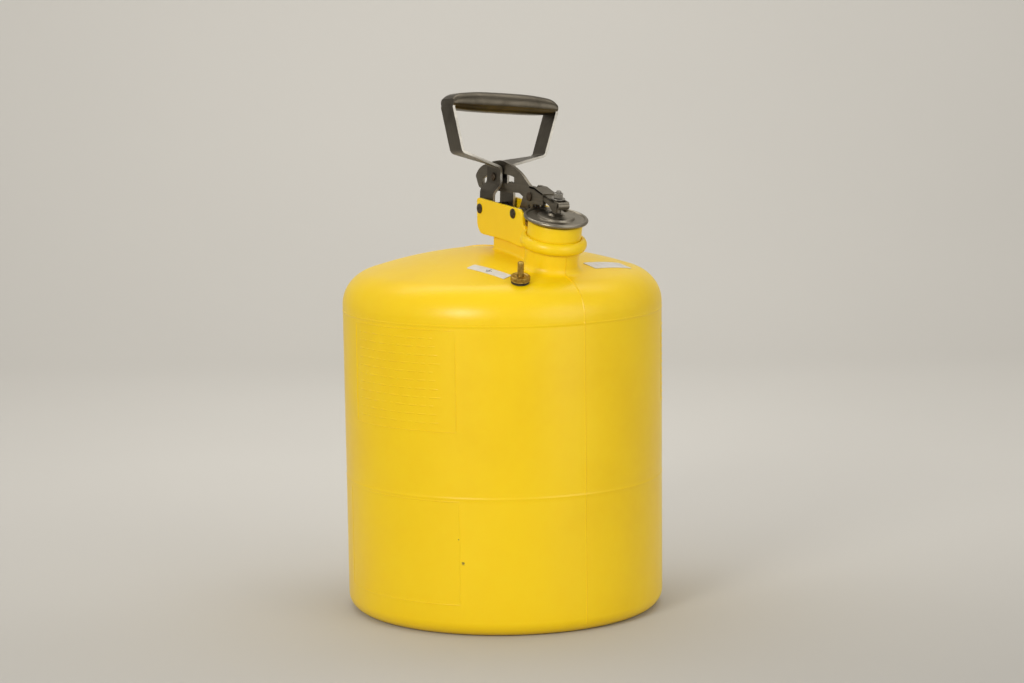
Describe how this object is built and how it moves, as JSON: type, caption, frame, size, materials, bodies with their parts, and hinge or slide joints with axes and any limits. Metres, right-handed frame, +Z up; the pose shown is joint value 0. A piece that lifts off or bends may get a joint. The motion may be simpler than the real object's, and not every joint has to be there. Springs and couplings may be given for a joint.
{
  "type": "safety gas can",
  "caption": "Round moulded plastic fuel safety can with a tilted spout, a spring-closed lid on a lever arm, a folded metal carrying handle and a brass bonding post.",
  "frame": {"origin": "centre of the container's base, on the floor", "axes": "+Z up; +X from the container's axis towards the spout; +Y along the handle and lid pivot pins"},
  "size_m": [0.3048, 0.3048, 0.4912],
  "materials": {
    "moulded_yellow": "satin, blow moulded polyethylene",
    "brushed_strap": "dull brushed",
    "bright_steel": "plain stainless",
    "rivet_steel": "dark, dull",
    "spring_steel": "drawn wire",
    "brass": "dull, knurled",
    "seal_rubber": "matt",
    "label_paper": "printed film, blank"
  },
  "bodies": {
    "container": {"container": "moulded_yellow", "handle_bracket": "moulded_yellow", "arrester_tube": "bright_steel", "arrester_flange": "bright_steel", "arrester_cap": "bright_steel", "rear_pivot_pin": "rivet_steel", "front_pivot_pin": "rivet_steel", "rear_washer_near": "bright_steel", "rear_washer_far": "bright_steel", "front_washer_near": "bright_steel", "front_washer_far": "bright_steel", "ground_stud": "brass", "ground_seal": "seal_rubber", "ground_washer": "bright_steel", "ground_inner_washer": "seal_rubber", "ground_inner_nut": "brass", "ground_label": "label_paper", "side_label": "label_paper"},
    "handle": {"handle_strap": "brushed_strap", "handle_grip": "brushed_strap", "handle_cross_pin": "rivet_steel", "rear_spacer": "bright_steel"},
    "lid_arm": {"lid_arm": "brushed_strap", "link_pin": "rivet_steel", "link_spacer_near": "bright_steel", "link_spacer_far": "bright_steel", "lid_spring": "spring_steel", "lid_disc": "brushed_strap", "lid_gasket": "seal_rubber", "gasket_retainer": "bright_steel", "lid_bolt": "bright_steel", "lid_boss": "bright_steel", "lid_washer": "bright_steel", "lid_nut": "bright_steel"},
    "lift_link": {"lift_link": "brushed_strap"},
    "ground_nut": {"ground_thumb_nut": "brass"}
  },
  "joints": [
    {"name": "handle_swing", "type": "hinge", "parent": "container", "child": "handle", "pos_m": [-0.007, 0, 0.381], "axis": [0, -1, 0], "range_deg": [-15, 40]},
    {"name": "lid_lift", "type": "hinge", "parent": "container", "child": "lid_arm", "pos_m": [0.0563, 0, 0.3807], "axis": [0, -1, 0], "range_deg": [0, 40], "stiffness_Nm_per_rad": 0.4, "springref_deg": -85.94},
    {"name": "link_swing", "type": "hinge", "parent": "lid_arm", "child": "lift_link", "pos_m": [0.0665, 0, 0.3965], "axis": [0, -1, 0], "range_deg": [-38, 0]},
    {"name": "ground_nut_turn", "type": "hinge", "parent": "container", "child": "ground_nut", "pos_m": [0.117, -0.047, 0.32391], "axis": [0.287, -0.1153, 0.951], "continuous": true}
  ],
  "couplings": [
    {"joint": "link_swing", "follows": "lid_lift", "ratio": -0.95}
  ]
}
